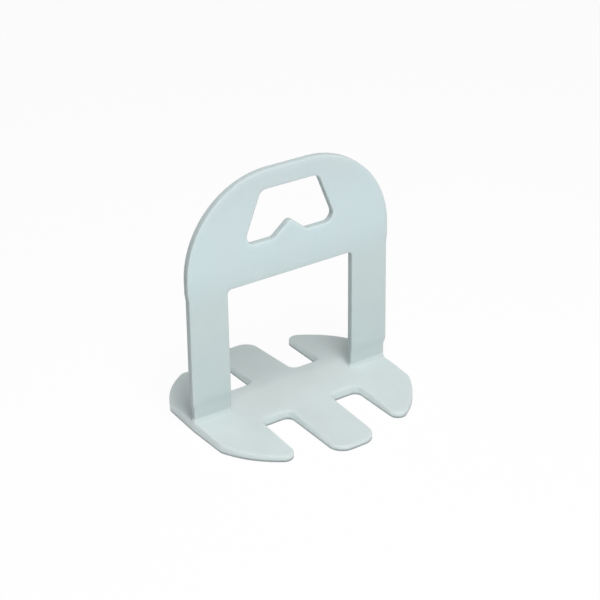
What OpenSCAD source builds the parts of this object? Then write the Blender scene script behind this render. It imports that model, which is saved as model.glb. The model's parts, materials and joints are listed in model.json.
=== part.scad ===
// Tile levelling clip: a one-piece moulded plate on a forked base.
// The plate stands in the joint between two tiles, the base lies under them,
// and a wedge driven through the window presses the tiles level.
// X runs along the plate, Y through its thickness, Z up from the underside.

/* [Clip] */
// Width over the handle and over the feet of the legs
clip_width = 32.4; // [28:0.1:40]
// Height from the underside to the top of the handle
clip_height = 35.7; // [34:0.1:45]
// Thickness of the plate, which is the width of the tile joint
plate_thickness = 1; // [0.8:0.1:2.5]

/* [Legs] */
// Width of each leg at its foot
leg_width = 6.1; // [4:0.1:7]
// How far the outer edge of each leg is drawn in below the handle
leg_waist = 0.15; // [0:0.05:0.5]
// Height of the wedge seat above the underside
seat_height = 20; // [16:0.1:21]
// Radius of the upper corners of the window
window_radius = 0.6; // [0.2:0.1:2]

/* [Break-off neck] */
// Thickness of the neck where the legs snap off the base
neck_thickness = 0.7; // [0.3:0.05:0.75]
// Depth of the nick in the outer edge of each leg
neck_nick = 0.25; // [0.05:0.05:0.5]
// Height of the neck above the base
neck_height = 2.2; // [0.6:0.1:3]
// Height over which the neck grows to the full leg
neck_flare = 0.8; // [0.4:0.1:2]
// Radius of the blend where the legs meet the base
foot_radius = 0.4; // [0.1:0.05:0.8]

/* [Handle] */
// Height over which the legs widen into the handle, from the wedge seat up
widen_height = 1; // [0.6:0.1:3]
// Radius of the two shoulders
shoulder_radius = 13; // [8:0.5:13.5]

/* [Handle hole] */
// Height of the lower edge of the hole above the wedge seat
hole_rise = 5.6; // [4:0.1:6]
// Height of the bar of the handle above the hole
handle_bar = 2.8; // [1.5:0.1:4]
// Width along the lower edge of the hole
hole_lower_width = 14.9; // [13:0.1:17]
// Width along the upper edge of the hole
hole_upper_width = 9.1; // [7:0.05:11]
// Radius of the four corners of the hole
hole_radius = 1.2; // [0.3:0.1:1.5]
// Width of the nub on the lower edge of the hole
nub_width = 5.3; // [4:0.1:7]
// Slope of the flanks of the nub, in degrees
nub_slope = 39; // [20:1:45]
// Radius of the top of the nub and of the blends at its foot
nub_radius = 0.8; // [0.3:0.1:1.2]

/* [Base] */
// How far each end of the base reaches out past the neck above it
end_margin = 0.05; // [0.05:0.05:0.5]
// Length over the middle fingers
base_length = 31.9; // [29:0.1:36]
// Height of the level spine under the plate
spine_height = 1.6; // [1.2:0.1:3]
// Width of the level spine
spine_width = 6; // [3:0.5:7]
// Height at the tips of the middle fingers
tip_height = 0.8; // [0.6:0.05:1.5]
// Radius of the upper edges
edge_radius = 0.25; // [0.2:0.05:0.9]

/* [Fingers] */
// Width of a middle finger at its root
middle_root_width = 6.6; // [5:0.05:7]
// Width of a middle finger near its tip
middle_tip_width = 6.65; // [5:0.05:7.5]
// Width over the outer walls of two neighbouring slots
slot_span = 16.3; // [15:0.1:18]
// Distance between the closed ends of the front and the back slots
slot_spacing = 8.9; // [8:0.1:12]
// Radius of the closed corners of the slots
slot_radius = 1.1; // [0.5:0.1:1.6]
// Length over the outer fingers
outer_length = 28.6; // [24:0.2:29]
// Radius of the curved ends of the outer fingers
outer_radius = 14.5; // [10:0.5:20]
// Length of the straight sides
side_length = 13; // [12:0.2:17]
// How far each side is drawn in where it ends
side_taper = 0.2; // [0:0.05:1]
// Radius where a side runs into the curved end
side_radius = 1.5; // [1.2:0.1:7]
// Radius of the tips of the outer fingers
outer_tip_radius = 1.3; // [0.9:0.1:1.5]
// Radius of the corners at the tips of the middle fingers
middle_tip_radius = 2.2; // [1:0.1:3]

/* [Hidden] */
$fn = 64;

milky_white = [0.86, 0.91, 0.91];
// Largest turn between two points on a curved outline of the base, in degrees
turn_step = 15;
// Flats across the rounded upper edge of the base
edge_steps = 5;
// Largest radius of the upper edges, as a share of the finger tips and of the tip height
edge_limit = 0.9;
// Depth to which the legs run into the base, as a share of its height
leg_root = 0.75;
// Depth to which the blends at the feet dip into the base, as a share of their radius
foot_dip = 0.15;
// Least straight height between the widening of a leg and the shoulder
shoulder_gap = 0.2;
// Extra length of cutting and profile shapes
past = 1;

window_width = clip_width - 2 * leg_width;
shoulder_z = clip_height - shoulder_radius;
waist_z = min(seat_height, shoulder_z - shoulder_gap - widen_height);
hole_z = seat_height + hole_rise;
hole_top = clip_height - handle_bar;
neck_top = spine_height + neck_height;
leg_bottom = spine_height * (1 - leg_root);
foot_z = spine_height - foot_radius * foot_dip;
spine_edge = spine_width / 2;
slope = (spine_height - tip_height) / (base_length / 2 - spine_edge);

// Unit vector from point a to point b
function toward(a, b) = (b - a) / norm(b - a);

// Centre of the arc that rounds corner i of an outline, and its two tangent points
function corner(outline, radii, i) =
    let (n = len(outline))
    let (p = outline[i])
    let (u = toward(p, outline[(i + n - 1) % n]))
    let (v = toward(p, outline[(i + 1) % n]))
    let (half = acos(u * v) / 2)
    let (reach = radii[i] / tan(half))
    [p + toward([0, 0], u + v) * radii[i] / sin(half), p + u * reach, p + v * reach];

// True where a counter-clockwise outline turns left at corner i
function turns_left(outline, i) =
    let (n = len(outline))
    let (a = outline[i] - outline[(i + n - 1) % n])
    let (b = outline[(i + 1) % n] - outline[i])
    a.x * b.y - a.y * b.x > 0;

// Counter-clockwise outline with every corner rounded to a true arc, a radius of 0 keeps it sharp
module rounded(outline, radii) {
    last = len(outline) - 1;
    difference() {
        union() {
            polygon([for (i = [0 : last]) each radii[i] > 0
                ? [corner(outline, radii, i)[1], corner(outline, radii, i)[2]]
                : [outline[i]]]);
            for (i = [0 : last])
                if (radii[i] > 0 && turns_left(outline, i))
                    translate(corner(outline, radii, i)[0]) circle(r = radii[i]);
        }
        for (i = [0 : last])
            if (radii[i] > 0 && !turns_left(outline, i))
                translate(corner(outline, radii, i)[0]) circle(r = radii[i]);
    }
}

// Front view of the plate, drawn in X and Z, before its openings are cut
module plate_outline() {
    side = clip_width / 2;
    nick = side - neck_nick;
    waist = side - leg_waist;
    rounded(
        [
            [-nick, leg_bottom], [nick, leg_bottom],
            [nick, neck_top], [side, neck_top + neck_flare],
            [waist, waist_z], [side, waist_z + widen_height],
            [side, clip_height], [-side, clip_height],
            [-side, waist_z + widen_height], [-waist, waist_z],
            [-side, neck_top + neck_flare], [-nick, neck_top]
        ],
        [0, 0, 0, 0, 0, 0, shoulder_radius, shoulder_radius, 0, 0, 0, 0]
    );
}

// The window between the legs, closed above by the wedge seat and below by the base
module window_outline() {
    side = window_width / 2;
    rounded(
        [[-side, foot_z], [side, foot_z], [side, seat_height], [-side, seat_height]],
        [foot_radius, foot_radius, window_radius, window_radius]
    );
}

// The finger hole in the handle, with a nub in the middle of its lower edge
module hole_outline() {
    low = hole_lower_width / 2;
    high = hole_upper_width / 2;
    foot = nub_width / 2;
    rounded(
        [
            [-low, hole_z], [-foot, hole_z], [0, hole_z + foot * tan(nub_slope)], [foot, hole_z],
            [low, hole_z], [high, hole_top], [-high, hole_top]
        ],
        [hole_radius, nub_radius, nub_radius, nub_radius, hole_radius, hole_radius, hole_radius]
    );
}

// End view of the plate, drawn in Y and Z: blended foot, thin neck, then the full thickness
module plate_section() {
    foot = neck_thickness / 2 + foot_radius;
    half_profile = [
        [foot, leg_bottom],
        [foot, foot_z + foot_radius],
        [neck_thickness / 2, foot_z + foot_radius],
        [neck_thickness / 2, neck_top],
        [plate_thickness / 2, neck_top + neck_flare],
        [plate_thickness / 2, clip_height + past]
    ];
    last = len(half_profile) - 1;
    difference() {
        polygon(concat(half_profile, [for (i = [last : -1 : 0]) [-half_profile[i].x, half_profile[i].y]]));
        for (side = [-1, 1])
            translate([side * foot, foot_z + foot_radius])
                circle(r = foot_radius);
    }
}

module plate() {
    intersection() {
        rotate([90, 0, 0])
            linear_extrude(2 * (plate_thickness + foot_radius), center = true)
                difference() {
                    plate_outline();
                    window_outline();
                    hole_outline();
                }
        rotate([90, 0, 90])
            linear_extrude(clip_width + past, center = true)
                plate_section();
    }
}

// Points along an arc, from one angle to another
function arc(centre, radius, from, to) =
    let (steps = ceil(abs(to - from) / turn_step))
    [for (i = [0 : steps]) let (a = from + (to - from) * i / steps) centre + radius * [cos(a), sin(a)]];

// Centre of the circle of a given radius through two points, on the left of the way from a to b
function circle_through(a, b, radius) =
    let (chord = b - a)
    let (depth = sqrt(radius * radius - chord * chord / 4))
    (a + b) / 2 + depth * toward([0, 0], [-chord.y, chord.x]);

// Height of the upper face of the base, level on the spine and falling to the finger tips
function top_z(y) = spine_height - slope * max(0, abs(y) - spine_edge);

// One quarter of the base in plan, drawn in by an inset, from the end of the spine to the middle finger
function quarter_plan(inset) =
    let (end_x = clip_width / 2 - neck_nick + end_margin)
    let (side_x = end_x - side_taper)
    let (slot_x = slot_span / 2)
    let (slot_y = slot_spacing / 2)
    let (root_x = middle_root_width / 2)
    let (tip = [middle_tip_width / 2, base_length / 2] - middle_tip_radius * [1, 1])
    // The curved end of the outer finger, and the two smaller arcs that run into it
    let (bow = circle_through([side_x, side_length / 2], [slot_x, outer_length / 2], outer_radius))
    let (side_dx = side_x - side_radius - bow.x)
    let (side_dy = sqrt(pow(outer_radius - side_radius, 2) - side_dx * side_dx))
    let (tip_dx = slot_x + outer_tip_radius - bow.x)
    let (tip_dy = sqrt(pow(outer_radius - outer_tip_radius, 2) - tip_dx * tip_dx))
    let (bow_start = atan2(side_dy, side_dx))
    let (bow_end = atan2(tip_dy, tip_dx))
    let (crease_x = end_x - side_taper * spine_edge / (bow.y + side_dy))
    concat(
        [[end_x - inset, 0], [crease_x - inset, spine_edge]],
        arc(bow + [side_dx, side_dy], side_radius - inset, 0, bow_start),
        arc(bow, outer_radius - inset, bow_start + turn_step / 2, bow_end - turn_step / 2),
        arc(bow + [tip_dx, tip_dy], outer_tip_radius - inset, bow_end, 180),
        arc([slot_x - slot_radius, slot_y + slot_radius], slot_radius + inset, 0, -90),
        arc([root_x + slot_radius, slot_y + slot_radius], slot_radius + inset, -90, -180),
        arc(tip, middle_tip_radius - inset, 0, 90)
    );

// The whole base in plan, counter-clockwise from one end of the spine
function base_plan(inset) =
    let (quarter = quarter_plan(inset))
    let (half = concat(quarter, [for (i = [len(quarter) - 1 : -1 : 1]) [-quarter[i].x, quarter[i].y]]))
    concat(half, -half);

// Forked outline of the base with rounded upper edges, skinned from rings of its plan.
// It is left too tall and too deep, and its section cuts it to height.
module base_blank() {
    edge = min(edge_radius, edge_limit * min(outer_tip_radius, middle_tip_radius, tip_height));
    crest = edge * (1 - sin(90 - 90 / edge_steps));
    foot_ring = [for (p = base_plan(0)) [p.x, p.y, -past]];
    edge_rings = [for (j = [0 : edge_steps - 1])
        let (turn = 90 * j / edge_steps)
        [for (p = base_plan(edge * (1 - cos(turn)))) [p.x, p.y, top_z(p.y) - edge * (1 - sin(turn))]]];
    crest_ring = [for (p = base_plan(edge)) [p.x, p.y, top_z(p.y) + crest]];
    rings = concat([foot_ring], edge_rings, [crest_ring]);
    n = len(foot_ring);
    half = n / 2;
    top = (len(rings) - 1) * n;
    walls = [for (k = [0 : len(rings) - 2], i = [0 : n - 1])
        let (a = k * n + i)
        let (b = k * n + (i + 1) % n)
        each [[a, a + n, b + n], [a, b + n, b]]];
    underside = [for (i = [0 : n - 1]) i];
    spine_face = [for (i = [n - 1, half + 1, half, half - 1, 1, 0]) top + i];
    back_face = [for (i = [half - 1 : -1 : 1]) top + i];
    front_face = [for (i = [n - 1 : -1 : half + 1]) top + i];
    faces = concat(walls, [underside, spine_face, back_face, front_face]);
    polyhedron([for (ring = rings) each ring], faces);
}

// End view of the base, drawn in Y and Z: flat below, level on the spine, falling to the finger tips
module base_section() {
    end = base_length / 2 + past;
    polygon([
        [-end, 0], [end, 0], [end, top_z(end)],
        [spine_edge, spine_height], [-spine_edge, spine_height], [-end, top_z(end)]
    ]);
}

module base() {
    intersection() {
        base_blank();
        rotate([90, 0, 90])
            linear_extrude(clip_width + past, center = true)
                base_section();
    }
}

module levelling_clip() {
    color(milky_white) {
        plate();
        base();
    }
}

levelling_clip();
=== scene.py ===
import json
import math

import bmesh
import bpy
from mathutils import Matrix, Vector
from mathutils.geometry import delaunay_2d_cdt
from mathutils.kdtree import KDTree


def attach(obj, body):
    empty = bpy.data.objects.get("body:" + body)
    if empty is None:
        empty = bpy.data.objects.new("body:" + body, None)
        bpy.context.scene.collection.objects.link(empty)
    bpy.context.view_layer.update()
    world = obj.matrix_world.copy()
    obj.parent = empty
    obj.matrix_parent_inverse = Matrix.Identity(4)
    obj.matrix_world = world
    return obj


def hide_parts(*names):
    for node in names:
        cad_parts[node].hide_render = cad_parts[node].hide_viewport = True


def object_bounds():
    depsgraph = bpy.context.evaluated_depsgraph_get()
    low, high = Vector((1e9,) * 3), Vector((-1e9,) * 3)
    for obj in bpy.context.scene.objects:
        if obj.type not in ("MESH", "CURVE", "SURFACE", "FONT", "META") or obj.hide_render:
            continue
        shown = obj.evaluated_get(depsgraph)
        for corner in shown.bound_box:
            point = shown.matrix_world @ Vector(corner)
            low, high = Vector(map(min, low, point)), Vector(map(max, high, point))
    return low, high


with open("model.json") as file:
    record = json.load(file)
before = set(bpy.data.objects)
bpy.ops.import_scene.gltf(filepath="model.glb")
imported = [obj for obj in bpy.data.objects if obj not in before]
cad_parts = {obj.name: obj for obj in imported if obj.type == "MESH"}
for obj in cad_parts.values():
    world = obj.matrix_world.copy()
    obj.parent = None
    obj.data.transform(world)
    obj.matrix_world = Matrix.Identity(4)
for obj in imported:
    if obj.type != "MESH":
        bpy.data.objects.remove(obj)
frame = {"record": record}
cad_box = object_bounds()

MM = 0.001

# Overall sizes come from the solid, and the level of the wedge seat from its mount
CLIP_WIDTH = (cad_box[1].x - cad_box[0].x) / MM
BASE_LENGTH = (cad_box[1].y - cad_box[0].y) / MM
CLIP_HEIGHT = (cad_box[1].z - cad_box[0].z) / MM
MOUNT_PLACES = {mount["name"]: mount["pos_m"] for mount in frame["record"]["mounts"]}
SEAT_HEIGHT = MOUNT_PLACES["wedge_seat"][2] / MM
SPINE_HEIGHT = MOUNT_PLACES["tile_seat_front"][2] / MM

# Plate: lengths in millimetres, the slope in degrees
PLATE_THICKNESS = 1.0
LEG_WIDTH = 6.1
LEG_WAIST = 0.15
WINDOW_RADIUS = 0.6
NECK_THICKNESS = 0.7
NECK_NICK = 0.25
NECK_HEIGHT = 2.2
NECK_FLARE = 0.8
FOOT_RADIUS = 0.4
FOOT_DIP_SHARE = 0.15
WIDEN_HEIGHT = 1.0
WIDEN_RADIUS = 1.5
SHOULDER_RADIUS = 13.0
HOLE_RISE = 5.6
HANDLE_BAR = 2.8
HOLE_LOWER_WIDTH = 14.9
HOLE_UPPER_WIDTH = 9.1
HOLE_RADIUS = 1.2
NUB_WIDTH = 5.3
NUB_SLOPE = 39.0
NUB_RADIUS = 0.8
LEG_ROOT_SHARE = 0.75
PLATE_EDGE = 0.15
SOFT_BEND = 0.35

# Forked base, in millimetres
END_MARGIN = 0.05
SPINE_WIDTH = 6.0
TIP_HEIGHT = 0.8
BASE_EDGE = 0.25
FOOT_EDGE = 0.12
MIDDLE_ROOT_WIDTH = 6.6
MIDDLE_TIP_WIDTH = 6.65
SLOT_SPAN = 16.3
SLOT_SPACING = 8.9
SLOT_RADIUS = 1.1
OUTER_LENGTH = 28.6
OUTER_RADIUS = 14.5
SIDE_LENGTH = 13.0
SIDE_TAPER = 0.2
SIDE_RADIUS = 1.5
OUTER_TIP_RADIUS = 1.3
MIDDLE_TIP_RADIUS = 2.2

# Fineness of the mesh: turns in degrees, lengths in millimetres
TURN_STEP = 5.0
RUN_STEP = 0.4
FACE_STEP = 0.6
FACE_MARGIN = 0.35
PLATE_EDGE_STEPS = 4
BASE_EDGE_STEPS = 8
FOOT_EDGE_STEPS = 2
BEND_SAMPLES = 9
SHARP_ANGLE = 40.0
WELD = 1e-7
SLIVER = 0.002
# The triangulation keeps only the triangles within the outlines
TRIANGLES_WITHIN = 1

SPINE_EDGE = SPINE_WIDTH / 2
NECK_TOP = SPINE_HEIGHT + NECK_HEIGHT
LEG_BOTTOM = SPINE_HEIGHT * (1 - LEG_ROOT_SHARE)
FOOT_Z = SPINE_HEIGHT - FOOT_RADIUS * FOOT_DIP_SHARE
FINGER_SLOPE = (SPINE_HEIGHT - TIP_HEIGHT) / (BASE_LENGTH / 2 - SPINE_EDGE)


def point(x, y):
    """A place in a flat drawing."""
    return Vector((x, y))


def ray(degrees):
    """Direction at an angle."""
    return point(math.cos(math.radians(degrees)), math.sin(math.radians(degrees)))


def bend(centre, radius, start, end):
    """Points along an arc, from one angle to another in degrees."""
    steps = max(1, math.ceil(abs(end - start) / TURN_STEP))
    return [centre + radius * ray(start + (end - start) * i / steps) for i in range(steps + 1)]


def rounded(outline, radii):
    """A closed outline with each corner rounded to its radius."""
    points = []
    count = len(outline)
    for i, corner in enumerate(outline):
        if radii[i] == 0:
            points.append(corner)
            continue
        back = (outline[i - 1] - corner).normalized()
        ahead = (outline[(i + 1) % count] - corner).normalized()
        half = math.acos(max(-1, min(1, back.dot(ahead)))) / 2
        centre = corner + (back + ahead).normalized() * radii[i] / math.sin(half)
        entry = corner + back * radii[i] / math.tan(half) - centre
        leave = corner + ahead * radii[i] / math.tan(half) - centre
        start = math.degrees(math.atan2(entry.y, entry.x))
        turn = math.degrees(math.atan2(entry.x * leave.y - entry.y * leave.x, entry.dot(leave)))
        points += bend(centre, radii[i], start, start + turn)
    return points


def run_counts(outline):
    """Into how many runs each side of a closed outline is split."""
    sides = [ahead - corner for corner, ahead in zip(outline, outline[1:] + outline[:1])]
    return [max(1, math.ceil(side.length / RUN_STEP)) for side in sides]


def split_runs(outline, counts):
    """A closed outline with each side split into its runs."""
    points = []
    for i, corner in enumerate(outline):
        ahead = outline[(i + 1) % len(outline)]
        points += [corner.lerp(ahead, k / counts[i]) for k in range(counts[i])]
    return points


def drawn_in(outline, inset):
    """A closed outline moved to its left by an inset."""
    points = []
    count = len(outline)
    for i, corner in enumerate(outline):
        before = (corner - outline[i - 1]).normalized()
        after = (outline[(i + 1) % count] - corner).normalized()
        left = point(-before.y, before.x) + point(-after.y, after.x)
        points.append(corner + left * inset * 2 / max(left.length_squared, 1))
    return points


def softened(profile, place):
    """A profile of straight lines with its bends eased."""
    samples = [place + SOFT_BEND * (2 * k / (BEND_SAMPLES - 1) - 1) for k in range(BEND_SAMPLES)]
    return sum(profile(sample) for sample in samples) / BEND_SAMPLES


def straight_between(stops, place):
    """Value at a place, on straight lines from stop to stop."""
    for (low, low_value), (high, high_value) in zip(stops, stops[1:]):
        if place <= high:
            share = max(0, place - low) / (high - low)
            return low_value + (high_value - low_value) * share
    return stops[-1][1]


def plate_half_thickness(z):
    """Half the thickness at a height: blended foot, thin neck, then the full thickness."""
    stops = [(NECK_TOP, NECK_THICKNESS / 2), (NECK_TOP + NECK_FLARE, PLATE_THICKNESS / 2)]
    reach = min(1, max(0, (FOOT_Z + FOOT_RADIUS - z) / FOOT_RADIUS))
    foot_blend = FOOT_RADIUS * (1 - math.sqrt(1 - reach * reach))
    return softened(lambda place: straight_between(stops, place), z) + foot_blend


def base_top(y):
    """Height of the upper face of the base: level on the spine, falling to the finger tips."""
    return softened(lambda place: SPINE_HEIGHT - FINGER_SLOPE * max(0, abs(place) - SPINE_EDGE), y)


def plate_outline():
    """Front view of the plate, counter-clockwise, before its openings are cut."""
    side = CLIP_WIDTH / 2
    right = [
        point(side - NECK_NICK, LEG_BOTTOM),
        point(side - NECK_NICK, NECK_TOP),
        point(side, NECK_TOP + NECK_FLARE),
        point(side - LEG_WAIST, SEAT_HEIGHT),
        point(side, SEAT_HEIGHT + WIDEN_HEIGHT),
        point(side, CLIP_HEIGHT),
    ]
    radii = [0, 0, 0, WIDEN_RADIUS, WIDEN_RADIUS, SHOULDER_RADIUS]
    left = [point(-corner.x, corner.y) for corner in reversed(right)]
    return rounded(right + left, radii + radii[::-1])


def window_outline():
    """The window between the legs, clockwise, so that the plate lies on its left."""
    inner = CLIP_WIDTH / 2 - LEG_WIDTH
    corners = [
        point(-inner, SEAT_HEIGHT), point(inner, SEAT_HEIGHT), point(inner, FOOT_Z), point(-inner, FOOT_Z),
    ]
    return rounded(corners, [WINDOW_RADIUS] * 2 + [FOOT_RADIUS] * 2)


def hole_outline():
    """The finger hole with its nub, clockwise, so that the plate lies on its left."""
    floor = SEAT_HEIGHT + HOLE_RISE
    top = CLIP_HEIGHT - HANDLE_BAR
    low = HOLE_LOWER_WIDTH / 2
    high = HOLE_UPPER_WIDTH / 2
    foot = NUB_WIDTH / 2
    peak = floor + foot * math.tan(math.radians(NUB_SLOPE))
    corners = [
        point(-high, top), point(high, top), point(low, floor), point(foot, floor),
        point(0, peak), point(-foot, floor), point(-low, floor),
    ]
    return rounded(corners, [HOLE_RADIUS] * 3 + [NUB_RADIUS] * 3 + [HOLE_RADIUS])


def circle_through(start, end, radius):
    """Centre of the circle through two points, on the left of the way between them."""
    chord = end - start
    depth = math.sqrt(radius * radius - chord.length_squared / 4)
    return (start + end) / 2 + depth * point(-chord.y, chord.x).normalized()


def quarter_plan(inset):
    """One quarter of the base in plan, drawn in by an inset."""
    end_x = CLIP_WIDTH / 2 - NECK_NICK + END_MARGIN
    side_x = end_x - SIDE_TAPER
    slot_x = SLOT_SPAN / 2
    slot_y = SLOT_SPACING / 2
    root_x = MIDDLE_ROOT_WIDTH / 2
    bow = circle_through(point(side_x, SIDE_LENGTH / 2), point(slot_x, OUTER_LENGTH / 2), OUTER_RADIUS)
    side_dx = side_x - SIDE_RADIUS - bow.x
    side_way = point(side_dx, math.sqrt((OUTER_RADIUS - SIDE_RADIUS) ** 2 - side_dx ** 2))
    tip_dx = slot_x + OUTER_TIP_RADIUS - bow.x
    tip_way = point(tip_dx, math.sqrt((OUTER_RADIUS - OUTER_TIP_RADIUS) ** 2 - tip_dx ** 2))
    bow_start = math.degrees(math.atan2(side_way.y, side_way.x))
    bow_end = math.degrees(math.atan2(tip_way.y, tip_way.x))
    crease_x = end_x - SIDE_TAPER * SPINE_EDGE / (bow.y + side_way.y)
    middle = point(MIDDLE_TIP_WIDTH / 2 - MIDDLE_TIP_RADIUS, BASE_LENGTH / 2 - MIDDLE_TIP_RADIUS)
    half_turn = TURN_STEP / 2
    return (
        [point(end_x - inset, 0), point(crease_x - inset, SPINE_EDGE)]
        + bend(bow + side_way, SIDE_RADIUS - inset, 0, bow_start)
        + bend(bow, OUTER_RADIUS - inset, bow_start + half_turn, bow_end - half_turn)
        + bend(bow + tip_way, OUTER_TIP_RADIUS - inset, bow_end, 180)
        + bend(point(slot_x - SLOT_RADIUS, slot_y + SLOT_RADIUS), SLOT_RADIUS + inset, 0, -90)
        + bend(point(root_x + SLOT_RADIUS, slot_y + SLOT_RADIUS), SLOT_RADIUS + inset, -90, -180)
        + bend(middle, MIDDLE_TIP_RADIUS - inset, 0, 90)
    )


def base_plan(inset):
    """The whole base in plan, counter-clockwise from one end of the spine."""
    quarter = quarter_plan(inset)
    half = quarter + [point(-corner.x, corner.y) for corner in quarter[:0:-1]]
    return half + [-corner for corner in half]


def skin(mesh, rings):
    """Walls between rings that have as many points as each other."""
    rows = [[mesh.verts.new(place) for place in ring] for ring in rings]
    for lower, upper in zip(rows, rows[1:]):
        count = len(lower)
        for i in range(count):
            ahead = (i + 1) % count
            mesh.faces.new((lower[i], lower[ahead], upper[ahead], upper[i]))


def inside(loop, place):
    """Whether a point lies within a closed outline."""
    crossed = False
    for a, b in zip(loop, loop[1:] + loop[:1]):
        if (a.y > place.y) != (b.y > place.y):
            if place.x < a.x + (place.y - a.y) * (b.x - a.x) / (b.y - a.y):
                crossed = not crossed
    return crossed


def face_pattern(outer, holes):
    """Triangles over a flat region, with points spread evenly inside it."""
    loops = [outer] + holes
    points = [place for loop in loops for place in loop]
    near = KDTree(len(points))
    for i, place in enumerate(points):
        near.insert(place.to_3d(), i)
    near.balance()
    edges = []
    first = 0
    for loop in loops:
        edges += [(first + i, first + (i + 1) % len(loop)) for i in range(len(loop))]
        first += len(loop)
    low_x, high_x = min(p.x for p in outer), max(p.x for p in outer)
    low_y, high_y = min(p.y for p in outer), max(p.y for p in outer)
    for row in range(1, math.ceil((high_y - low_y) / FACE_STEP)):
        for column in range(1, math.ceil((high_x - low_x) / FACE_STEP)):
            place = point(low_x + column * FACE_STEP, low_y + row * FACE_STEP)
            clear = near.find(place.to_3d())[2] > FACE_MARGIN
            if clear and inside(outer, place) and not any(inside(hole, place) for hole in holes):
                points.append(place)
    spots, _, triangles, _, _, _ = delaunay_2d_cdt(points, edges, [], TRIANGLES_WITHIN, WELD)
    kept = []
    for triangle in triangles:
        middle = sum((spots[i] for i in triangle), point(0, 0)) / len(triangle)
        if inside(outer, middle) and not any(inside(hole, middle) for hole in holes):
            kept.append(triangle)
    return spots, kept


def lay_face(mesh, pattern, lift, flip):
    """Lay a pattern of triangles on a surface."""
    spots, triangles = pattern
    corners = [mesh.verts.new(lift(spot)) for spot in spots]
    for triangle in triangles:
        order = reversed(triangle) if flip else triangle
        mesh.faces.new([corners[i] for i in order])


def finished(mesh, name):
    """Weld a mesh and make an object of it, in metres."""
    bmesh.ops.remove_doubles(mesh, verts=mesh.verts, dist=WELD)
    loose = [vert for vert in mesh.verts if not vert.link_faces]
    bmesh.ops.delete(mesh, geom=loose, context="VERTS")
    bmesh.ops.recalc_face_normals(mesh, faces=mesh.faces)
    bmesh.ops.scale(mesh, vec=(MM, MM, MM), verts=mesh.verts)
    data = bpy.data.meshes.new(name)
    mesh.to_mesh(data)
    mesh.free()
    obj = bpy.data.objects.new(name, data)
    bpy.context.scene.collection.objects.link(obj)
    return obj


def plate_piece():
    """Legs and handle, with a fine radius along every edge."""
    mesh = bmesh.new()
    turns = [90 * k / PLATE_EDGE_STEPS for k in range(PLATE_EDGE_STEPS + 1)]
    loops = []
    for outline in (plate_outline(), window_outline(), hole_outline()):
        loop = split_runs(outline, run_counts(outline))
        rings = []
        for side, order in ((-1, reversed(turns)), (1, turns)):
            for turn in order:
                drawn = drawn_in(loop, PLATE_EDGE * (1 - ray(turn).x))
                fall = PLATE_EDGE * (1 - ray(turn).y)
                rings.append([Vector((p.x, side * (plate_half_thickness(p.y) - fall), p.y)) for p in drawn])
        skin(mesh, rings)
        loops.append(drawn_in(loop, PLATE_EDGE))
    pattern = face_pattern(loops[0], loops[1:])
    for side in (-1, 1):
        lay_face(mesh, pattern, lambda p: Vector((p.x, side * plate_half_thickness(p.y), p.y)), side > 0)
    return finished(mesh, "clip_plate")


def base_piece():
    """Forked base with rounded upper edges and a fine radius underneath."""
    counts = run_counts(base_plan(0))
    rings = []
    for k in range(FOOT_EDGE_STEPS + 1):
        turn = ray(90 * k / FOOT_EDGE_STEPS)
        plan = split_runs(base_plan(FOOT_EDGE * (1 - turn.y)), counts)
        rings.append([Vector((p.x, p.y, FOOT_EDGE * (1 - turn.x))) for p in plan])
    for k in range(BASE_EDGE_STEPS + 1):
        turn = ray(90 * k / BASE_EDGE_STEPS)
        plan = split_runs(base_plan(BASE_EDGE * (1 - turn.x)), counts)
        rings.append([Vector((p.x, p.y, base_top(p.y) - BASE_EDGE * (1 - turn.y))) for p in plan])
    mesh = bmesh.new()
    skin(mesh, rings)
    crest = face_pattern(split_runs(base_plan(BASE_EDGE), counts), [])
    lay_face(mesh, crest, lambda p: Vector((p.x, p.y, base_top(p.y))), False)
    foot = face_pattern(split_runs(base_plan(FOOT_EDGE), counts), [])
    lay_face(mesh, foot, lambda p: Vector((p.x, p.y, 0)), True)
    return finished(mesh, "forked_base")


def moulded_in_one(plate, base, name):
    """One closed body from the plate and the base."""
    union = plate.modifiers.new("moulded_in_one", "BOOLEAN")
    union.operation = "UNION"
    union.solver = "EXACT"
    union.object = base
    shape = plate.evaluated_get(bpy.context.evaluated_depsgraph_get())
    data = bpy.data.meshes.new_from_object(shape)
    data.name = name
    for part in (plate, base):
        bpy.data.objects.remove(part)
    mesh = bmesh.new()
    mesh.from_mesh(data)
    bmesh.ops.dissolve_degenerate(mesh, dist=SLIVER * MM, edges=mesh.edges)
    mesh.to_mesh(data)
    mesh.free()
    data.shade_smooth()
    data.set_sharp_from_angle(angle=math.radians(SHARP_ANGLE))
    obj = bpy.data.objects.new(name, data)
    bpy.context.scene.collection.objects.link(obj)
    return obj


class Signal:
    """An output of a node, which works in plain maths as a number does."""

    def __init__(self, finish, socket):
        self.finish = finish
        self.socket = socket

    def maths(self, operation, first, second):
        return self.finish.add("ShaderNodeMath", {"operation": operation}, {0: first, 1: second})

    def __add__(self, other):
        return self.maths("ADD", self, other)

    def __radd__(self, other):
        return self.maths("ADD", other, self)

    def __sub__(self, other):
        return self.maths("SUBTRACT", self, other)

    def __rsub__(self, other):
        return self.maths("SUBTRACT", other, self)

    def __mul__(self, other):
        return self.maths("MULTIPLY", self, other)

    def __rmul__(self, other):
        return self.maths("MULTIPLY", other, self)

    def __truediv__(self, other):
        return self.maths("DIVIDE", self, other)

    def held(self):
        """The value held between 0 and 1."""
        return self.finish.add("ShaderNodeClamp", {}, {"Value": self})


# Places of the colours among the sockets of the mix node
MIX_FIRST = 6
MIX_SECOND = 7
MIX_RESULT = 2


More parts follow.
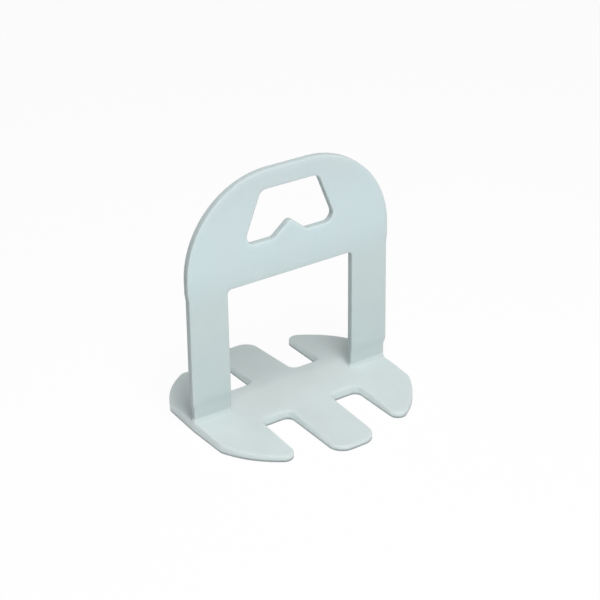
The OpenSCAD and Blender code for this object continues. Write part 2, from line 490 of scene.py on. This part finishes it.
class Finish:
    """The nodes of a material or of the world."""

    def __init__(self, owner):
        owner.use_nodes = True
        self.tree = owner.node_tree
        self.tree.nodes.clear()

    def add(self, kind, settings, values, output=0):
        """A node of any kind: its settings first, then the values and links of its sockets."""
        node = self.tree.nodes.new(kind)
        for name, setting in settings.items():
            setattr(node, name, setting)
        for name, value in values.items():
            if isinstance(value, Signal):
                self.tree.links.new(value.socket, node.inputs[name])
            else:
                node.inputs[name].default_value = value
        return Signal(self, node.outputs[output]) if node.outputs else None

    def blend(self, share, first, second):
        """A colour between two colours."""
        values = {"Factor": share, MIX_FIRST: first, MIX_SECOND: second}
        return self.add("ShaderNodeMix", {"data_type": "RGBA"}, values, MIX_RESULT)


# Milky plastic: colours as linear values, heights in metres
# The body colours by height are painted shade: darker and greener low on the base and legs, lighter on the
# handle, darker at the crown
BASE_COLOUR = (0.583, 0.655, 0.648, 1)
LEG_COLOUR = (0.614, 0.714, 0.714, 1)
HANDLE_COLOUR = (0.667, 0.799, 0.826, 1)
CROWN_COLOUR = (0.640, 0.732, 0.753, 1)
CLOUD_COLOUR = (0.690, 0.775, 0.775, 1)
# Painted shade on the rims of the plate
PLATE_RIM_SHADE_COLOUR = (0.460, 0.530, 0.535, 1)
# Painted light on the steep walls of the base
WALL_LIGHT_COLOUR = (0.740, 0.830, 0.825, 1)
# Painted contact shade along the lowest band of the base's walls
BASE_CONTACT_SHADE_COLOUR = (0.300, 0.350, 0.355, 1)
LEG_FADE = (0.0016, 0.0035)
HANDLE_FADE = (0.0175, 0.0245)
CROWN_FADE = (0.027, 0.036)
BASE_CONTACT_SHADE_FADE = (0.0001, 0.0005)
PLATE_RIM_FADE = (0.0019, 0.0024)
CLOUD_SCALE = 150.0
CLOUD_DETAIL = 3.0
CLOUD_MIDDLE = 0.5
CLOUD_CONTRAST = 2.5
CLOUD_SHARE = 0.45
GRAIN_SCALE = 2600.0
GRAIN_DETAIL = 2.0
GRAIN_HEIGHT = 0.000012
GRAIN_STRENGTH = 0.6
SHEEN_ROUGHNESS = 0.60
SHEEN_SPREAD = 0.12
PLASTIC_IOR = 1.49
MILK_WEIGHT = 0.45
MILK_RADIUS = (1, 1, 1)
MILK_DEPTH = 0.0012


def faded(height, fade):
    """0 below a fade, 1 above it and an even swing between its two heights."""
    share = ((height - fade[0]) / (fade[1] - fade[0])).held()
    return share * share * (3 - 2 * share)


def milky_plastic():
    """Cloudy, slightly translucent moulded plastic with a soft sheen, its colour carrying painted shade and
    light.
    """
    material = bpy.data.materials.new("milky_plastic")
    finish = Finish(material)
    place = finish.add("ShaderNodeTexCoord", {}, {}, "Object")
    facing = finish.add("ShaderNodeTexCoord", {}, {}, "Normal")
    height = finish.add("ShaderNodeSeparateXYZ", {}, {"Vector": place}, "Z")
    facing_y = finish.add("ShaderNodeSeparateXYZ", {}, {"Vector": facing}, "Y")
    facing_z = finish.add("ShaderNodeSeparateXYZ", {}, {"Vector": facing}, "Z")
    clouds = {"Vector": place, "Scale": CLOUD_SCALE, "Detail": CLOUD_DETAIL}
    grains = {"Vector": place, "Scale": GRAIN_SCALE, "Detail": GRAIN_DETAIL}
    haze = finish.add("ShaderNodeTexNoise", {}, clouds) - CLOUD_MIDDLE
    cloud = (haze * CLOUD_CONTRAST + CLOUD_MIDDLE).held()
    grain = finish.add("ShaderNodeTexNoise", {}, grains)
    # Painted shade by height: darker low down, lighter on the handle, darker again at the crown
    body = finish.blend(faded(height, LEG_FADE), BASE_COLOUR, LEG_COLOUR)
    body = finish.blend(faded(height, HANDLE_FADE), body, HANDLE_COLOUR)
    body = finish.blend(faded(height, CROWN_FADE), body, CROWN_COLOUR)
    body = finish.blend(cloud * CLOUD_SHARE, body, CLOUD_COLOUR)
    # Painted shade darkens the plate's rims, painted light lightens the steep walls of the base, and
    # painted shade darkens the lowest band of those walls
    broad = facing_y * facing_y
    plate_rim_shade = (1 - broad * broad) * faded(height, PLATE_RIM_FADE)
    steep = 1 - facing_z * facing_z
    wall = steep * steep * steep * (1 - faded(height, PLATE_RIM_FADE))
    base_contact_shade = wall * (1 - faded(height, BASE_CONTACT_SHADE_FADE))
    body = finish.blend(plate_rim_shade, body, PLATE_RIM_SHADE_COLOUR)
    # Painted light on the steep walls of the base, making up for the lamp's light they miss
    body = finish.blend(wall, body, WALL_LIGHT_COLOUR)
    # Painted contact shade along the lowest band of the base's walls
    colour = finish.blend(base_contact_shade, body, BASE_CONTACT_SHADE_COLOUR)
    roughness = SHEEN_ROUGHNESS + haze * SHEEN_SPREAD
    relief = {"Height": grain, "Distance": GRAIN_HEIGHT, "Strength": GRAIN_STRENGTH}
    surface = finish.add("ShaderNodeBump", {}, relief)
    plastic = finish.add(
        "ShaderNodeBsdfPrincipled",
        {},
        {
            "Base Color": colour,
            "Roughness": roughness,
            "Normal": surface,
            "IOR": PLASTIC_IOR,
            "Subsurface Weight": MILK_WEIGHT,
            "Subsurface Radius": MILK_RADIUS,
            "Subsurface Scale": MILK_DEPTH,
        },
    )
    finish.add("ShaderNodeOutputMaterial", {}, {"Surface": plastic})
    return material


# Studio: the floor's size in metres, its glow and the room's light as shares of white
FLOOR_COLOUR = (0.92, 0.92, 0.92, 1)
FLOOR_SIZE = 6.0
WHITE = (1, 1, 1, 1)
FLOOR_GLOW = 0.93
ROOM_LIGHT = 0.34


def straight_view(finish):
    """1 where the camera sees a surface directly, in a gloss or through a clear body, otherwise 0."""
    kinds = ("Is Camera Ray", "Is Glossy Ray", "Is Transmission Ray")
    direct, glossy, clear = [finish.add("ShaderNodeLightPath", {}, {}, kind) for kind in kinds]
    return (direct + glossy + clear).held()


def studio_floor():
    """Floor that looks white and keeps a faint shadow."""
    material = bpy.data.materials.new("studio_floor")
    finish = Finish(material)
    matt = finish.add("ShaderNodeBsdfDiffuse", {}, {"Color": FLOOR_COLOUR})
    glow = finish.add("ShaderNodeEmission", {}, {"Color": WHITE})
    share = straight_view(finish) * FLOOR_GLOW
    mix = finish.add("ShaderNodeMixShader", {}, {0: share, 1: matt, 2: glow})
    finish.add("ShaderNodeOutputMaterial", {}, {"Surface": mix})
    bpy.ops.mesh.primitive_plane_add(size=FLOOR_SIZE)
    floor = bpy.context.object
    floor.name = "studio_floor"
    floor.data.materials.append(material)


def studio_room():
    """Even light from all sides that looks white behind the clip."""
    world = bpy.data.worlds.new("studio_room")
    bpy.context.scene.world = world
    finish = Finish(world)
    strength = ROOM_LIGHT + straight_view(finish) * (1 - ROOM_LIGHT)
    light = finish.add("ShaderNodeBackground", {}, {"Color": WHITE, "Strength": strength})
    finish.add("ShaderNodeOutputWorld", {}, {"Surface": light})


def towards(azimuth, elevation):
    """Direction to a place around the clip: azimuth from the front, positive to the right, in degrees."""
    round_way, rise = ray(azimuth), ray(elevation)
    return Vector((round_way.y * rise.x, -round_way.x * rise.x, rise.y))


# Tall soft lamp: angles in degrees, sizes in metres; its level is the share of a plain light at the clip
KEY_AZIMUTH = -15.0
KEY_ELEVATION = 66.0
KEY_DISTANCE = 0.25
KEY_WIDTH = 0.08
KEY_HEIGHT = 0.16
KEY_LEVEL = 0.78
CLIP_MIDDLE = (0, 0, 0.015)


def key_light():
    """Lamp above the front left, turned to the clip."""
    way = towards(KEY_AZIMUTH, KEY_ELEVATION)
    lamp = bpy.data.lights.new("key_light", "AREA")
    lamp.shape = "RECTANGLE"
    lamp.size = KEY_WIDTH
    lamp.size_y = KEY_HEIGHT
    lamp.energy = KEY_LEVEL * (math.pi * KEY_DISTANCE) ** 2
    obj = bpy.data.objects.new("key_light", lamp)
    obj.location = Vector(CLIP_MIDDLE) + KEY_DISTANCE * way
    obj.rotation_euler = way.to_track_quat("Z", "Y").to_euler()
    bpy.context.scene.collection.objects.link(obj)


# Camera of the photograph: angles in degrees, distance and aim in millimetres
VIEW_AZIMUTH = -34.316
VIEW_ELEVATION = 27.389
VIEW_ROLL = -0.679
VIEW_DISTANCE = 219.79
VIEW_AIM = (1.679, 0, 14.877)
VIEW_LENS = 96.458
SENSOR_WIDTH = 36.0
NEAREST_SEEN = 0.01


def photo_camera():
    """Camera with the place and lens of the photograph."""
    back = towards(VIEW_AZIMUTH, VIEW_ELEVATION)
    level = ray(VIEW_AZIMUTH).to_3d()
    upright = back.cross(level)
    roll = ray(VIEW_ROLL)
    right = roll.x * level + roll.y * upright
    up = roll.x * upright - roll.y * level
    data = bpy.data.cameras.new("photo_camera")
    data.lens = VIEW_LENS
    data.sensor_width = SENSOR_WIDTH
    data.clip_start = NEAREST_SEEN
    camera = bpy.data.objects.new("photo_camera", data)
    turn = Matrix((right, up, back)).transposed().to_4x4()
    camera.matrix_world = Matrix.Translation((Vector(VIEW_AIM) + VIEW_DISTANCE * back) * MM) @ turn
    bpy.context.scene.collection.objects.link(camera)
    bpy.context.scene.camera = camera


clip = moulded_in_one(plate_piece(), base_piece(), "levelling_clip_body")
clip.data.materials.clear()
clip.data.materials.append(milky_plastic())
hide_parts("levelling_clip")
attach(clip, "root")

studio_floor()
studio_room()
key_light()
photo_camera()

bpy.context.scene.view_settings.view_transform = "Standard"
